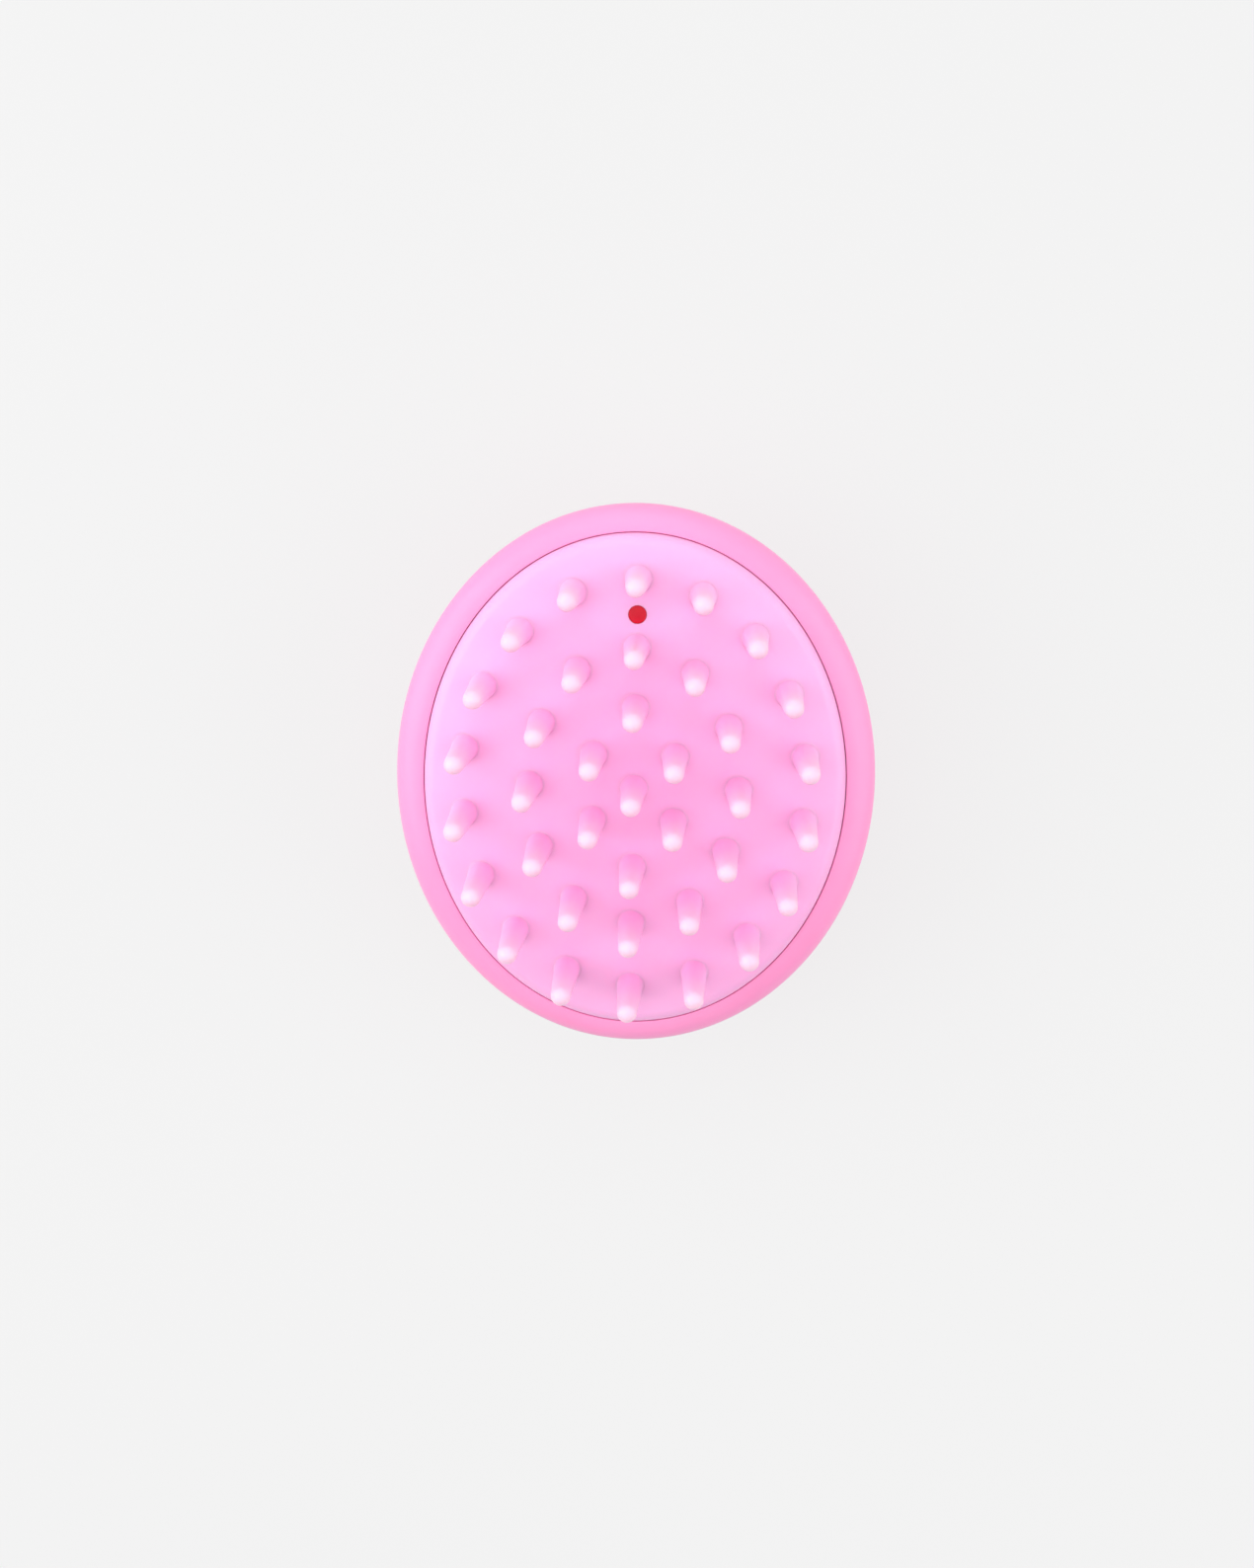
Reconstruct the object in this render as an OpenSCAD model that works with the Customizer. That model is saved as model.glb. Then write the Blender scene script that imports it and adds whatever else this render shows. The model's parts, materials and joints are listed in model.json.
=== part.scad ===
// Palm-held vibrating scalp massager brush, lying on its palm grip with the bristles up.
// Millimetres. +Z points out of the bristle face, +Y towards the indicator light.
// The origin is the middle of the flat crown that the brush rests on.

/* [Body] */
// Width of the rim, the widest part of the brush
rim_w = 80.5; // [79.5:0.5:81]
// Length of the rim
rim_l = 92.8; // [92.2:0.1:93.2]
// Height of the rim's outermost line above the crown
rim_z = 30.2; // [30:0.1:30.4]
// Width of the palm grip
grip_w = 65; // [64.6:0.1:65.6]
// Width of the finger waist between grip and rim
waist_w = 60; // [59.6:0.1:61]
// Wall thickness of the shells
wall = 2.4; // [2.2:0.05:2.5]

/* [Bristle pad] */
// Width of the silicone pad
pad_w = 70.6; // [70:0.1:70.8]
// Length of the silicone pad
pad_l = 84.2; // [83.8:0.1:84.3]
// Height of the pad's middle above the rim's outermost line
pad_rise = 8.6; // [8.5:0.1:8.8]
// Radius of the pad's shallow dome across its width
dome_r = 180; // [175:1:220]
// Thickness of the silicone skin
skin = 2; // [1.8:0.1:2.1]

/* [Bristles] */
// Length of a bristle, from the skin to its tip
bristle_h = 14.4; // [10:0.1:16]
// Diameter of a bristle where it leaves the skin
bristle_base_d = 4.4; // [4:0.1:4.8]
// Diameter of a bristle's round tip
bristle_tip_d = 3.3; // [2.8:0.1:3.6]
// Bristles in the innermost oval ring; ring n holds n times as many
ring_step = 6; // [4:1:6]

/* [Indicator light] */
// Diameter of the red window
window_d = 3; // [2.6:0.1:3.2]
// Distance of the window from the middle of the pad
window_y = 29; // [28.6:0.1:29.4]

/* [Power button] */
// Diameter of the power button
button_d = 14.8; // [14:0.1:15]
// How far the button's face sits below the crown
button_inset = 0.6; // [0.4:0.1:0.8]

/* [Hidden] */
$fn = 64;
gap = 0.1;                      // between fixed pieces that sit against each other
parting_z = 22;                 // the two shells meet at the waist
pad_z = rim_z + pad_rise;       // top of the dome
ledge_z = 31;                   // the rim's ledge, which carries the pad and its carrier
body_stretch = rim_l / rim_w;   // the shells' ovals are circles stretched along Y
pad_stretch = pad_l / pad_w;
crown_r = 23;                   // half-width of the flat crown
lip_r = 2.7;                    // radius of the turn under the rim's outermost line
lip_top = 33.8;                 // the rim's shoulder ends here, beside the pad's edge
edge_r = 2.2;                   // rounding of the pad's edge
carrier_t = 2.2;
ring_half_w = [7.4, 17.4, 28.7];
ring_extra_l = 6.2;             // a ring reaches this much further along Y than along X
fan = 0.12;                     // lean of a bristle, in degrees per millimetre from the middle
root_r = bristle_base_d / 2 + 0.3;
root_h = 0.35;                  // little flat-topped root under each bristle

tower = [15.5, 18.5];           // screw towers, mirrored into all four quadrants
tower_r = 4.3;
tower_top_z = 28.4;
thread_r = 1.25;                // bore of every tower and post
carrier_post = [19.5, 24.5];
carrier_head_z = 32.5;

board_w = 20.6;
board_y = [-32, 21.4];
board_z = 8.4;
board_t = 1.2;
board_top = board_z + board_t;
board_posts = [[-8, -27], [8, -27], [-8, 12.5], [8, 12.5]];

port_z = 11.2;                  // middle of the charging socket
pocket_y = -35.5;               // flat floor of the pocket round the socket
flange_z = 2.5;                 // the button's flange lies on the shell's floor here
spring_z = [3.3, 6.6];
spring_wire_r = 0.3;
spring_r = 6.5;
switch_z = 4.9;

motor_z = 27;
motor_r = 6;
motor_y = [-16.4, 3.6];
weight_y = [6, 12];
clamp_y = [-9.4, -3.4];
clamp_x = 10;

led_board_z = 26.2;
led_board_y = [24.3, 31.3];
cell_size = [20, 30, 5.4];
cell_pos = [-10, -16, 13.2];
foam_y = [[-15, -9], [4.4, 10.4]];

// routes of the leads: X, Y, Z of points along one lead
battery_route = [[-5.8, -23.9, 11.4], [-5.8, -25.8, 11.8], [-6, -26.8, 14], [-6, -25.2, 16.4],
    [-6, -22, 16.8], [-6, -18.2, 16]];
motor_route = [[3.6, -23.9, 11.4], [3.6, -25.6, 11.8], [3.5, -26.6, 14], [3.2, -28, 18],
    [2.8, -27, 23], [2.6, -24, 26.3], [2.6, -21.2, 27], [2.6, -18.5, 27]];
led_route = [[0, 20.6, 11.4], [0, 23, 11.6], [0, 26, 14], [0, 27, 19], [0, 26.5, 23], [0, 26.2, 26.1]];

// ---------- curves ----------

// Points of a cubic Bezier curve from a to d
function bezier(a, b, c, d, n = 10) =
    [for (i = [0 : n]) let (t = i / n, u = 1 - t)
        u*u*u*a + 3*u*u*t*b + 3*u*t*t*c + t*t*t*d];

// Points of an arc, angles in degrees from the first axis
function arc(c, r, from, to, n = 10) =
    [for (i = [0 : n]) let (t = from + (to - from) * i / n) c + r * [cos(t), sin(t)]];

function reversed(list) = [for (i = [len(list) - 1 : -1 : 0]) list[i]];
function unit(v) = v / norm(v);

// Half-width and height along the grip, from the flat crown round to the waist
function grip_side(inset) = concat(
    bezier([crown_r - inset / 2, inset], [28.8 - inset, inset],
        [grip_w / 2 - inset, 4.6 + inset / 2], [grip_w / 2 - inset, 11]),
    [for (p = bezier([grip_w / 2 - inset, 11], [grip_w / 2 - inset, 16.5],
        [waist_w / 2 - inset, 17], [waist_w / 2 - inset, parting_z])) if (p.y > 11) p]);

lip = [rim_w / 2 - lip_r, rim_z];

// Half-width and height along the flare, from the waist out to the underside of the lip
function flare_side(inset) = bezier(
    [waist_w / 2 - inset, parting_z + gap], [waist_w / 2 - inset, 25.6 + inset / 2],
    [lip.x - 3 - inset, 26.6 + inset * 0.8], [lip.x - inset * 0.5, rim_z - lip_r + inset * 0.9], 8);

// Half-width and height over the rim's shoulder, from its outermost line in to the pad
shoulder = [for (i = [1 : 9]) let (q = i * 10)
    [rim_w / 2 + (pad_w / 2 - 0.2 - rim_w / 2) * (1 - cos(q)), rim_z + (lip_top - rim_z) * sin(q)]];

// Height of the dome, sunk by depth, above a place on the pad
function dome_z(p, depth = 0) = let (half = norm([p.x, p.y / pad_stretch]))
    pad_z - dome_r + sqrt(pow(dome_r - depth, 2) - half * half);

// Half-width and height along the dome, from the outside to the middle
function dome_side(half_w, depth, n = 12) =
    [for (i = [0 : n]) let (half = half_w * (n - i) / n) [half, dome_z([half, 0], depth)]];

// ---------- shared shapes ----------

// Solid of revolution stretched into an oval, made as four quarters
module oval(profile, stretch) {
    for (q = [0, 90, 180, 270])
        scale([1, stretch, 1]) rotate(q) rotate_extrude(angle = 90, $fn = 160) polygon(profile);
}

module rod(r, z0, z1) {
    translate([0, 0, z0]) cylinder(r = r, h = z1 - z0);
}

module ring(outer_r, inner_r, z0, z1) {
    rotate_extrude() translate([inner_r, z0]) square([outer_r - inner_r, z1 - z0]);
}

module block(x, y, z) {
    translate([x[0], y[0], z[0]]) cube([x[1] - x[0], y[1] - y[0], z[1] - z[0]]);
}

module in_quadrants(p) {
    for (sx = [-1, 1], sy = [-1, 1]) translate([sx * p.x, sy * p.y, 0]) children();
}

module rounded_square(w, h, corner) {
    square([w - 2 * corner, h], center = true);
    square([w, h - 2 * corner], center = true);
    for (sx = [-1, 1], sy = [-1, 1])
        translate([sx * (w / 2 - corner), sy * (h / 2 - corner)]) circle(r = corner, $fn = 32);
}

// Round-cornered plate standing across Y, its middle at height z
module upright_plate(w, h, corner, y, z) {
    translate([0, y[1], z]) rotate([90, 0, 0]) linear_extrude(y[1] - y[0]) rounded_square(w, h, corner);
}

// Turns local +Z to +Y on the motor's axis
module on_motor(y) {
    translate([0, y, motor_z]) rotate([-90, 0, 0]) children();
}

// Screw with its head above z and its thread below, cross recess on top
module screw(head_r, head_h, r, length) {
    difference() {
        union() {
            cylinder(r = head_r, h = head_h);
            rod(r, -length, head_h / 2);
        }
        for (q = [0, 90]) rotate(q) translate([-head_r * 0.6, -0.25, head_h * 0.45]) cube([head_r * 1.2, 0.5, 3]);
    }
}

// Round wire of eight sides swept along points; across is never parallel to the wire
module wire(line, r, across) {
    n = len(line);
    sides = 8;
    rings = [for (i = [0 : n - 1]) let (
            along = unit(line[min(i + 1, n - 1)] - line[max(i - 1, 0)]),
            u = unit(cross(across, along)), v = cross(along, u))
        for (s = [0 : sides - 1]) line[i] + r * (cos(360 * s / sides) * u + sin(360 * s / sides) * v)];
    walls = [for (i = [0 : n - 2], s = [0 : sides - 1]) let (t = (s + 1) % sides)
        [i * sides + s, (i + 1) * sides + s, (i + 1) * sides + t, i * sides + t]];
    ends = [[for (s = [0 : sides - 1]) s], [for (s = [sides - 1 : -1 : 0]) (n - 1) * sides + s]];
    polyhedron(rings, concat(walls, ends), convexity = 6);
}

// Smooth line through a few points
function smooth(points, n = 4) = let (last = len(points) - 1) concat(
    [for (i = [0 : last - 1], k = [0 : n - 1]) let (
            a = points[max(i - 1, 0)], b = points[i], c = points[i + 1], d = points[min(i + 2, last)], t = k / n)
        0.5 * (2*b + (c - a)*t + (2*a - 5*b + 4*c - d)*t*t + (3*b - 3*c + d - a)*t*t*t)],
    [points[last]]);

// A pair of leads side by side
module lead_pair(route, apart) {
    for (s = [-1, 1]) wire([for (p = smooth(route)) p + [s * apart / 2, 0, 0]], 0.55, [1, 0, 0]);
}

// ---------- shells ----------

module grip_outside() {
    oval(concat([[0, 0]], grip_side(0), [[0, parting_z]]), body_stretch);
}

module back_shell() {
    color("hotpink") difference() {
        union() {
            oval(concat([[0, 0]], grip_side(0), reversed(grip_side(wall)), [[0, wall]]), body_stretch);
            intersection() {
                grip_outside();
                union() {
                    in_quadrants(tower) rod(tower_r, wall / 2, parting_z);
                    for (p = board_posts) translate(p) rod(2.2, wall / 2, board_z);
                    block([-10, 10], [-36, -32.8], [4.6, 19.6]);
                }
            }
        }
        in_quadrants(tower) rod(thread_r, 12, parting_z + 1);
        for (p = board_posts) translate(p) rod(0.85, 3.6, board_z + 1);
        rod(button_d / 2 + 0.25, -1, wall + 1);
        // pocket for the flap, seat for its anchor and the way through to the socket
        upright_plate(16, 10, 3, [-45, pocket_y], port_z);
        upright_plate(7, 4, 1, [-45, pocket_y], 17);
        upright_plate(9.3, 3.6, 1.7, [-40, -29], port_z);
        translate([0, -28, 17.6]) rotate([90, 0, 0]) cylinder(r = 1.1, h = 20, $fn = 32);
        // groove for the seal between the shells
        oval([[waist_w / 2 - 1.8, parting_z - 0.9], [waist_w / 2 - 0.7, parting_z - 0.9],
            [waist_w / 2 - 0.7, parting_z + 1], [waist_w / 2 - 1.8, parting_z + 1]], body_stretch);
    }
}

module rim_shell() {
    inner = [for (p = flare_side(wall)) if (p.y < ledge_z - 2.8) p];
    color("hotpink") difference() {
        union() {
            oval(concat(flare_side(0), arc(lip, lip_r, -80, 0, 8), shoulder,
                [[34, ledge_z], [29, ledge_z], [29, ledge_z - 2]], reversed(inner)), body_stretch);
            intersection() {
                union() {
                    in_quadrants(tower) rod(tower_r, parting_z + gap, tower_top_z);
                    in_quadrants(tower + [3, 4]) rod(3, parting_z + gap, tower_top_z - 1);
                    in_quadrants(carrier_post) rod(3.4, 26.5, ledge_z);
                    in_quadrants(carrier_post + [3, 3]) rod(3.6, ledge_z - 2, ledge_z);
                }
                oval(concat([[0, parting_z + gap]], flare_side(1), [[35, ledge_z], [0, ledge_z]]), body_stretch);
            }
        }
        // well for the pad
        oval([[0, ledge_z], [pad_w / 2 + 0.15, ledge_z], [pad_w / 2 + 0.15, 40], [0, 40]], pad_stretch);
        in_quadrants(tower) rod(thread_r, 20, 35);
        in_quadrants(carrier_post) rod(thread_r, 20, 35);
    }
}

module shell_seal() {
    color("dimgray") oval([[waist_w / 2 - 1.7, parting_z - 0.85], [waist_w / 2 - 0.8, parting_z - 0.85],
        [waist_w / 2 - 0.8, parting_z + 0.05], [waist_w / 2 - 1.7, parting_z + 0.05]], body_stretch);
}

module pad_carrier() {
    half_w = pad_w / 2 - 1.8;
    top = skin + gap;
    color("pink") difference() {
        union() {
            oval(concat([[0, dome_z([0, 0], top + carrier_t)]],
                reversed(dome_side(half_w - 2.4, top + carrier_t)),
                [[half_w - 2.4, ledge_z + gap], [half_w, ledge_z + gap]],
                dome_side(half_w, top)), pad_stretch);
            in_quadrants(carrier_post) rod(3, ledge_z + gap, dome_z(carrier_post, top + 1));
            translate([0, window_y, 0]) rod(4, ledge_z + gap, dome_z([0, window_y], top + 1));
            for (sx = [-1, 1]) {
                translate([sx * 6.6, 27.8, 0])
                    rod(1.8, led_board_z + board_t + gap, dome_z([6.6, 27.8], top + 1));
                translate([sx * clamp_x, -6.4, 0]) rod(2.4, motor_z + 1.6, dome_z([clamp_x, 6.4], top + 1));
            }
            // saddle over the motor
            for (y = [-14, 0.4]) block([-7.5, 7.5], [y - 0.9, y + 0.9], [motor_z, dome_z([8, y], top + 1)]);
        }
        in_quadrants(carrier_post) {
            rod(thread_r, ledge_z - 1, 45);
            rod(2.3, carrier_head_z, 45);
        }
        translate([0, window_y, 0]) {
            rod(window_d / 2 + gap, 20, 50);
            rod(2.6, 20, ledge_z + 1.7);
        }
        for (sx = [-1, 1]) {
            translate([sx * 6.6, 27.8, 0]) rod(0.75, 20, ledge_z + 0.8);
            translate([sx * clamp_x, -6.4, 0]) rod(0.95, 20, 33);
        }
        on_motor(-20) cylinder(r = motor_r + 0.9, h = 40);
    }
}

// ---------- silicone face ----------

// Rounded edge that runs smoothly into the dome
edge_c = [pad_w / 2 - edge_r,
    pad_z - dome_r + sqrt(pow(dome_r - edge_r, 2) - pow(pad_w / 2 - edge_r, 2))];
edge_q = 90 - asin(edge_c.x / (dome_r - edge_r));

module bristle_pad() {
    half_w = pad_w / 2;
    color("pink") difference() {
        union() {
            oval(concat([[0, dome_z([0, 0], skin)]], reversed(dome_side(half_w - 1.7, skin)),
                [[half_w - 1.7, ledge_z + gap], [half_w, ledge_z + gap]],
                arc(edge_c, edge_r, 0, edge_q, 6),
                [for (p = dome_side(half_w - edge_r, 0)) p]), pad_stretch);
            for (p = all_bristles) at_root(p) rod(root_r, -1, root_h);
        }
        translate([0, window_y, 0]) rod(window_d / 2 + gap, 20, 50);
    }
}

// Running length along an oval against the angle reached
function oval_table(a, b, steps = 180) =
    [for (i = 0, s = 0; i <= steps;
        s = s + norm([a * (sin((i + 1) * 360 / steps) - sin(i * 360 / steps)),
                      b * (cos((i + 1) * 360 / steps) - cos(i * 360 / steps))]), i = i + 1)
        [s, i * 360 / steps]];

// Points spaced evenly along an oval, the first one on the +Y side
function oval_points(a, b, n) = let (table = oval_table(a, b), total = table[len(table) - 1][0])
    [for (i = [0 : n - 1]) let (q = lookup(total * i / n, table)) [a * sin(q), b * cos(q)]];

function ring_points(i) = oval_points(ring_half_w[i], ring_half_w[i] + ring_extra_l, ring_step * (i + 1));
all_bristles = concat([[0, 0]], ring_points(0), ring_points(1), ring_points(2));

// Stands its children on the dome, leaning a little outwards
module at_root(p) {
    translate([p.x, p.y, dome_z(p)])
        rotate(a = norm(p) * fan, v = norm(p) > 0 ? [-p.y, p.x, 0] : [1, 0, 0]) children();
}

module bristle(p) {
    tip_r = bristle_tip_d / 2;
    tip_z = bristle_h - tip_r;
    at_root(p) rotate_extrude($fn = 32)
        polygon(concat([[0, root_h], [bristle_base_d / 2, root_h], [tip_r + 0.02, tip_z]],
            arc([0, tip_z], tip_r, 8, 90, 6)));
}

module bristle_center() { color("lavenderblush") bristle([0, 0]); }
module bristles_inner() { color("lavenderblush") for (p = ring_points(0)) bristle(p); }
module bristles_middle() { color("lavenderblush") for (p = ring_points(1)) bristle(p); }
module bristles_outer() { color("lavenderblush") for (p = ring_points(2)) bristle(p); }

// ---------- indicator light ----------

module led_window() {
    top = dome_z([0, window_y]) + 0.1;
    r = window_d / 2;
    color("crimson") translate([0, window_y, 0]) rotate_extrude()
        polygon([[0, ledge_z + 0.3], [2.5, ledge_z + 0.3], [2.5, ledge_z + 1.6], [r, ledge_z + 1.6],
            [r, top], [r - 0.3, top + 0.15], [0, top + 0.25]]);
}

module indicator_led() {
    z = led_board_z + board_t;
    color("red") translate([0, window_y, 0]) rotate_extrude($fn = 32)
        polygon(concat([[0, z], [1.9, z], [1.9, z + 0.9], [1.5, z + 0.9]],
            arc([0, z + 2], 1.5, 0, 90, 6)));
}

module led_board() {
    color("darkgreen") difference() {
        block([-8.4, 8.4], led_board_y, [led_board_z, led_board_z + board_t]);
        for (sx = [-1, 1]) translate([sx * 6.6, 27.8, 0]) rod(0.8, 20, 40);
    }
}

module led_board_screws() {
    color("silver") for (sx = [-1, 1]) translate([sx * 6.6, 27.8, led_board_z])
        rotate([180, 0, 0]) screw(1.4, 1, 0.7, 5);
}

// ---------- main board ----------

module main_board() {
    color("darkgreen") difference() {
        block([-board_w / 2, board_w / 2], board_y, [board_z, board_top]);
        for (p = board_posts) translate(p) rod(0.9, 0, 20);
    }
}

module chip(x, y, w, l, h) {
    translate([x - w / 2, y - l / 2, board_top]) cube([w, l, h]);
}

module board_components() {
    color("black") {
        chip(-3.5, -3, 5, 5, 1);
        chip(4.5, -4, 4, 4.4, 1.1);
        chip(3.8, 1.6, 3.2, 3, 1.8);
        chip(-6.5, 1.8, 1.6, 0.8, 0.8);
        chip(-3.6, 1.8, 1.6, 0.8, 0.8);
        chip(8, -2, 0.8, 1.6, 0.8);
        chip(-8, -2, 0.8, 1.6, 0.8);
        chip(4.6, -17.6, 2, 1.2, 0.9);
        chip(-4.6, -17.6, 2, 1.2, 0.9);
        translate([-6.2, 17.4, board_top]) cylinder(r = 2, h = 2.8);
    }
}

module board_screws() {
    color("silver") for (p = board_posts) translate([p.x, p.y, board_top]) screw(1.6, 1.2, 0.8, 5);
}

module usb_socket() {
    color("silver") {
        difference() {
            upright_plate(8.9, 3.2, 1.5, [pocket_y + 0.2, -27.9], port_z);
            upright_plate(8.3, 2.6, 1.2, [-40, -28.9], port_z);
        }
        block([-3.3, 3.3], [pocket_y + 1.8, -28.4], [port_z - 0.35, port_z + 0.35]);
    }
}

module connector(x, y) {
    translate([x - 3, y - 2.3, board_top]) cube([6, 4.6, 3.2]);
}

module lead_connectors() {
    color("ivory") {
        connector(-5.8, -21.5);
        connector(3.6, -21.5);
        connector(0, 18.2);
    }
}

// ---------- power button ----------

module switch_body() {
    color("black") difference() {
        union() {
            block([-3, 3], [-3, 3], [switch_z, board_z]);
            for (sx = [-1, 1], sy = [-1, 1])
                block([sx * 3.5 - 0.6, sx * 3.5 + 0.6], [sy * 2 - 0.4, sy * 2 + 0.4], [board_z - 0.5, board_z]);
        }
        rod(1.6, 0, switch_z + 2);
    }
}

module switch_plunger() {
    color("dimgray") rod(1.52, 3.9, switch_z + 1.2);
}

module power_button() {
    r = button_d / 2;
    color("deeppink") rotate_extrude()
        polygon([[0, button_inset], [r - 0.5, button_inset], [r, button_inset + 0.4], [r, 1.3],
            [r - 0.8, 1.3], [r - 0.8, 2.2], [r, 2.2], [r, flange_z], [r + 1.5, flange_z],
            [r + 1.5, spring_z[0]], [1.5, spring_z[0]], [1.5, 3.88], [0, 3.88]]);
}

module button_seal() {
    color("dimgray") rotate_extrude() translate([button_d / 2 - 0.35, 1.75]) circle(r = 0.42, $fn = 24);
}

module button_spring() {
    turns = 3;
    steps = 20;
    z0 = spring_z[0] + spring_wire_r + 0.05;
    z1 = spring_z[1] - spring_wire_r - 0.05;
    color("silver") wire([for (i = [0 : turns * steps]) let (q = 360 * i / steps)
        [spring_r * cos(q), spring_r * sin(q), z0 + (z1 - z0) * i / (turns * steps)]],
        spring_wire_r, [0, 0, 1]);
}

module button_guide() {
    color("white") rotate_extrude()
        polygon([[9.2, flange_z], [10.8, flange_z], [10.8, 7.6], [4.9, 7.6], [4.9, spring_z[1]],
            [9.2, spring_z[1]]]);
}

// ---------- charging port flap ----------

module port_plug() {
    color("deeppink") {
        intersection() {
            grip_outside();
            upright_plate(15.2, 9, 2.6, [-45, pocket_y - gap], port_z);
        }
        upright_plate(7.2, 1.7, 0.8, [pocket_y - 0.4, pocket_y + 1.2], port_z);
    }
}

module plug_anchor() {
    color("deeppink") {
        intersection() {
            grip_outside();
            translate([0, 0, 0.95]) upright_plate(6.4, 2.5, 0.8, [-45, pocket_y - 0.02], 16.6);
        }
        translate([0, -31, 17.6]) rotate([90, 0, 0]) cylinder(r = 1.05, h = -31 - pocket_y + 0.1, $fn = 32);
        translate([0, -30, 17.6]) rotate([90, 0, 0]) cylinder(r1 = 1, r2 = 1.5, h = 1.7, $fn = 32);
    }
}

// ---------- battery ----------

module battery_cell() {
    color("lightsteelblue") {
        translate(cell_pos + [cell_size.x / 2, cell_size.y / 2, 0])
            linear_extrude(cell_size.z) rounded_square(cell_size.x, cell_size.y, 2);
        block([-9, 9], [cell_pos.y - 2, cell_pos.y], [cell_pos.z + 0.6, cell_pos.z + 4.4]);
    }
}

module battery_foam() {
    color("dimgray") for (y = foam_y) block([-9, 9], y, [board_top, cell_pos.z]);
}

// ---------- vibration motor ----------

module motor_can() {
    color("silver") on_motor(motor_y[0]) rotate_extrude()
        polygon([[motor_r - 0.6, 0], [motor_r, 0], [motor_r, 19.4], [motor_r - 0.6, 20],
            [2.5, 20], [2.5, 19], [motor_r - 0.6, 19]]);
}

module motor_end_cap() {
    color("white") on_motor(motor_y[0] - 2) difference() {
        union() {
            cylinder(r = motor_r, h = 2);
            cylinder(r = motor_r - 0.65, h = 3);
        }
        rod(0.8, 1, 4);
    }
}

module motor_magnets() {
    color("dimgray") on_motor(motor_y[0] + 3) difference() {
        ring(motor_r - 0.62, 4.5, 0, 14);
        for (sx = [-1, 1]) translate([sx * 5 - 1, -8, -1]) cube([2, 16, 16]);
    }
}

module motor_bush() {
    color("goldenrod") on_motor(motor_y[1] - 1) ring(2.48, 0.8, 0, 2);
}

module motor_shaft() {
    color("silver") on_motor(-16.9) cylinder(r = 0.75, h = 29.4, $fn = 32);
}

module motor_armature() {
    color("peru") on_motor(-13) difference() {
        ring(4, 0.76, 0, 12.5);
        for (q = [0 : 120 : 240]) rotate(q) translate([2.2, -0.5, -1]) cube([3, 1, 15]);
    }
}

module eccentric_weight() {
    color("gray") on_motor(weight_y[0]) difference() {
        cylinder(r = 5.6, h = weight_y[1] - weight_y[0]);
        translate([-8, -9.6, -1]) cube([16, 8, 9]);
        rod(0.76, -1, 9);
    }
}

module motor_sleeve() {
    color("black") on_motor(-15.6) ring(motor_r + 0.82, motor_r + 0.02, 0, 18);
}

module motor_clamp() {
    color("white") difference() {
        union() {
            on_motor(clamp_y[0]) ring(motor_r + 1.8, motor_r + 0.9, 0, clamp_y[1] - clamp_y[0]);
            block([-clamp_x - 2.4, clamp_x + 2.4], clamp_y, [motor_z, motor_z + 1.5]);
        }
        block([-20, 20], [-20, 10], [motor_z + 1.5, 50]);
        on_motor(-20) cylinder(r = motor_r + 0.9, h = 40);
        for (sx = [-1, 1]) translate([sx * clamp_x, -6.4, 0]) rod(0.95, 20, 40);
    }
}

module clamp_screws() {
    color("silver") for (sx = [-1, 1]) translate([sx * clamp_x, -6.4, motor_z])
        rotate([180, 0, 0]) screw(1.8, 1.2, 0.9, 5.6);
}

// ---------- fasteners and leads ----------

module carrier_screws() {
    color("silver") in_quadrants(carrier_post) translate([0, 0, carrier_head_z]) screw(2.1, 1.1, 1.2, 5.6);
}

module shell_screws() {
    color("silver") in_quadrants(tower) translate([0, 0, tower_top_z]) screw(2.3, 1.7, 1.2, 15);
}

module battery_leads() { color("red") lead_pair(battery_route, 2.4); }
module motor_leads() { color("blue") lead_pair(motor_route, 2.4); }
module led_leads() { color("yellow") lead_pair(led_route, 2.4); }

back_shell();
rim_shell();
shell_seal();
pad_carrier();
bristle_pad();
bristle_center();
bristles_inner();
bristles_middle();
bristles_outer();
led_window();
indicator_led();
led_board();
led_board_screws();
main_board();
board_components();
board_screws();
usb_socket();
lead_connectors();
switch_body();
switch_plunger();
power_button();
button_seal();
button_spring();
button_guide();
port_plug();
plug_anchor();
battery_cell();
battery_foam();
motor_can();
motor_end_cap();
motor_magnets();
motor_bush();
motor_shaft();
motor_armature();
eccentric_weight();
motor_sleeve();
motor_clamp();
clamp_screws();
carrier_screws();
shell_screws();
battery_leads();
motor_leads();
led_leads();
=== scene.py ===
import json
import math

import bmesh
import bpy
from mathutils import Matrix, Vector


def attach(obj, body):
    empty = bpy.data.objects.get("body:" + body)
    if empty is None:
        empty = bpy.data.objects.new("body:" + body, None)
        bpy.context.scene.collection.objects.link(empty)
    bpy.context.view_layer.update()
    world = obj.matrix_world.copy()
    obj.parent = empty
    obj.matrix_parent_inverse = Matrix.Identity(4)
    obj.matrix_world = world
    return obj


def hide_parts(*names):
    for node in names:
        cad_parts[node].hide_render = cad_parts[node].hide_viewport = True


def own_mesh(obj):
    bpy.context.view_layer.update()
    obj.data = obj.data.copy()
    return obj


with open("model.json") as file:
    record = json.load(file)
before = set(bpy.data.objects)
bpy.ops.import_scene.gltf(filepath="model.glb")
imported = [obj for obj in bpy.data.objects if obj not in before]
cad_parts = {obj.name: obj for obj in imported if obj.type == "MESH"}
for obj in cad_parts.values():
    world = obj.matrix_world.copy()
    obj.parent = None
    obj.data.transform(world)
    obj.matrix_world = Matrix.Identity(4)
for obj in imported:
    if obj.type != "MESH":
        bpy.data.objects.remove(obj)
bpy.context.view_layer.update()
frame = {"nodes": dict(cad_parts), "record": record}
MM = 0.001

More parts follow.
